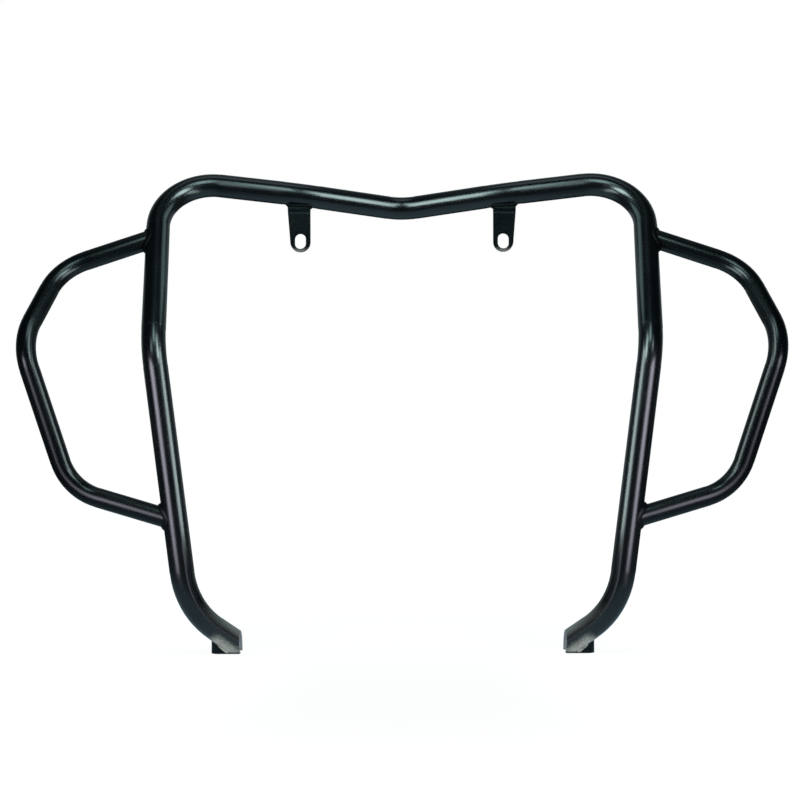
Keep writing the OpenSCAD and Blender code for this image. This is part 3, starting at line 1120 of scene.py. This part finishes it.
def studio_world():
    """White to the camera. For everything else dim and bluish, brighter behind the bars and
    overhead."""
    world = bpy.data.worlds.new("Studio")
    bpy.context.scene.world = world
    world.use_nodes = True
    tree = world.node_tree
    tree.nodes.clear()
    out = add_node(tree, "ShaderNodeOutputWorld", (700, 0))
    sky = add_node(tree, "ShaderNodeBackground", (400, 0))
    where = add_node(tree, "ShaderNodeTexCoord", (-900, 0))
    apart = split(tree, (-700, 0), where.outputs["Generated"])
    behind = spread(tree, (-500, 100), apart["Y"], 0.2, 0.9, 0.018, 0.2)
    above = spread(tree, (-500, 300), apart["Z"], 0.945, 0.99, 0.0, 0.4)
    around = maths(tree, (-300, 200), "ADD", behind, above)
    camera = add_node(tree, "ShaderNodeLightPath", (-500, -250)).outputs["Is Camera Ray"]
    strength = mixed(tree, (-100, 0), camera, around, 1.0, "FLOAT")
    tree.links.new(strength, sky.inputs["Strength"])
    tint = mixed(tree, (-100, 200), camera, (0.75, 0.95, 1, 1), (1, 1, 1, 1))
    tree.links.new(tint, sky.inputs["Color"])
    tree.links.new(sky.outputs[0], out.inputs["Surface"])


class CRASHBARS_OT_studio(bpy.types.Operator):
    """Set up the pale floor, the softboxes and the camera"""

    bl_idname = "crashbars.studio"
    bl_label = "Set Up the Studio"

    def execute(self, context):
        scene = context.scene
        studio = scene.crash_bar_studio
        for side, sign in SIDES:
            for name, glow, place, target, *beam in SOFTBOXES:
                softbox(
                    side.capitalize() + " " + name,
                    (sign * place[0], *place[1:]),
                    (sign * target[0], *target[1:]),
                    getattr(studio, glow),
                    *beam,
                )
        studio_floor()
        studio_world()
        camera_data = bpy.data.cameras.new("Photo Camera")
        camera_data.sensor_width = SENSOR
        camera_data.sensor_height = SENSOR
        camera_data.sensor_fit = "HORIZONTAL"
        camera_data.lens = FOCAL_PIXELS / PHOTO_PIXELS * SENSOR
        camera_data.shift_x = SHIFT_PIXELS[0] / PHOTO_PIXELS
        camera_data.shift_y = SHIFT_PIXELS[1] / PHOTO_PIXELS
        camera_data.clip_start = 0.05
        camera = bpy.data.objects.new("Photo Camera", camera_data)
        scene.collection.objects.link(camera)
        camera.location = (0, -HOLE_BACK / 1000 - studio.camera_distance, studio.camera_height)
        camera.rotation_euler = (math.pi / 2, math.radians(CAMERA_ROLL), 0)
        scene.camera = camera
        scene.view_settings.view_transform = "Standard"
        return {"FINISHED"}


class CRASHBARS_PT_build(bpy.types.Panel):
    """The steps that finish the crash bars, in order"""

    bl_idname = "CRASHBARS_PT_build"
    bl_label = "Crash Bars"
    bl_space_type = "VIEW_3D"
    bl_region_type = "UI"
    bl_category = "Crash Bars"

    def draw(self, context):
        layout = self.layout
        scene = context.scene
        for label, group in (
            ("Coat", scene.crash_bar_coat),
            ("Welds", scene.crash_bar_welds),
            ("Studio", scene.crash_bar_studio),
        ):
            box = layout.box()
            box.label(text=label)
            for name in group.__annotations__:
                box.prop(group, name)
        for step in STEPS:
            layout.operator(step.bl_idname)


STEPS = (
    CRASHBARS_OT_coat_tubes,
    CRASHBARS_OT_finish_plates,
    CRASHBARS_OT_weld_loops,
    CRASHBARS_OT_weld_lugs,
    CRASHBARS_OT_weld_feet,
    CRASHBARS_OT_studio,
)
CLASSES = (CrashBarCoat, CrashBarWelds, CrashBarStudio) + STEPS + (CRASHBARS_PT_build,)


def register():
    for item in CLASSES:
        bpy.utils.register_class(item)
    bpy.types.Scene.crash_bar_coat = bpy.props.PointerProperty(type=CrashBarCoat)
    bpy.types.Scene.crash_bar_welds = bpy.props.PointerProperty(type=CrashBarWelds)
    bpy.types.Scene.crash_bar_studio = bpy.props.PointerProperty(type=CrashBarStudio)


def unregister():
    del bpy.types.Scene.crash_bar_coat
    del bpy.types.Scene.crash_bar_welds
    del bpy.types.Scene.crash_bar_studio
    for item in reversed(CLASSES):
        bpy.utils.unregister_class(item)


def main():
    register()
    bpy.ops.crashbars.coat_tubes()
    bpy.ops.crashbars.finish_plates()
    bpy.ops.crashbars.weld_loops()
    bpy.ops.crashbars.weld_lugs()
    bpy.ops.crashbars.weld_feet()
    bpy.ops.crashbars.studio()
    bpy.context.view_layer.update()


if __name__ == "__main__":
    main()
